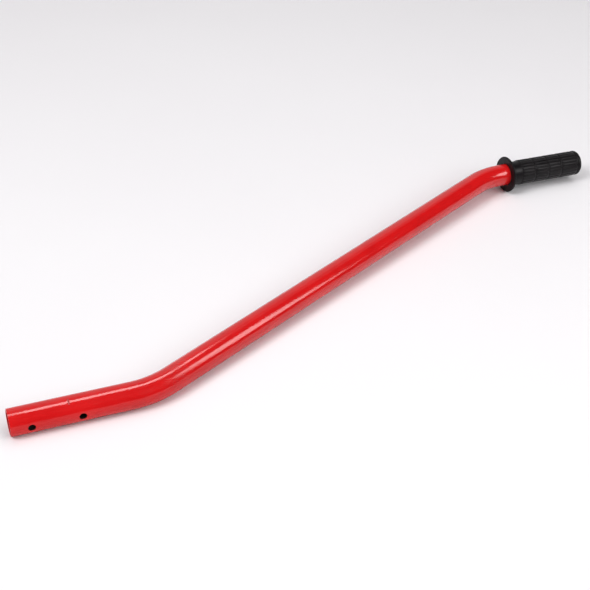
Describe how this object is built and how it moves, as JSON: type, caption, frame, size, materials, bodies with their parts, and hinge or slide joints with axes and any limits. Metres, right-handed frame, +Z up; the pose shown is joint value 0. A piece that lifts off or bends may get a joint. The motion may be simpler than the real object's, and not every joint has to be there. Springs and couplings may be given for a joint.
{
  "type": "post driver handle arm",
  "caption": "Bent round tube arm, cross-drilled for bolts at its open end, with a flanged and ribbed hand grip on the other end.",
  "frame": {"origin": "centre of the base of the arm's box, on the surface that the arm lies on", "axes": "+X along the mounting leg, away from its open end and towards the grip; the middle leg turns towards +Y; +Z up, with the arm lying on its mounting leg and the grip's flange"},
  "size_m": [0.9286, 0.337, 0.0542],
  "materials": {
    "red_gloss_paint": "gloss red enamel with slight orange peel",
    "black_rubber": "satin black moulding"
  },
  "bodies": {
    "root": {"handle_tube": "red_gloss_paint", "hand_grip": "black_rubber"}
  },
  "joints": []
}
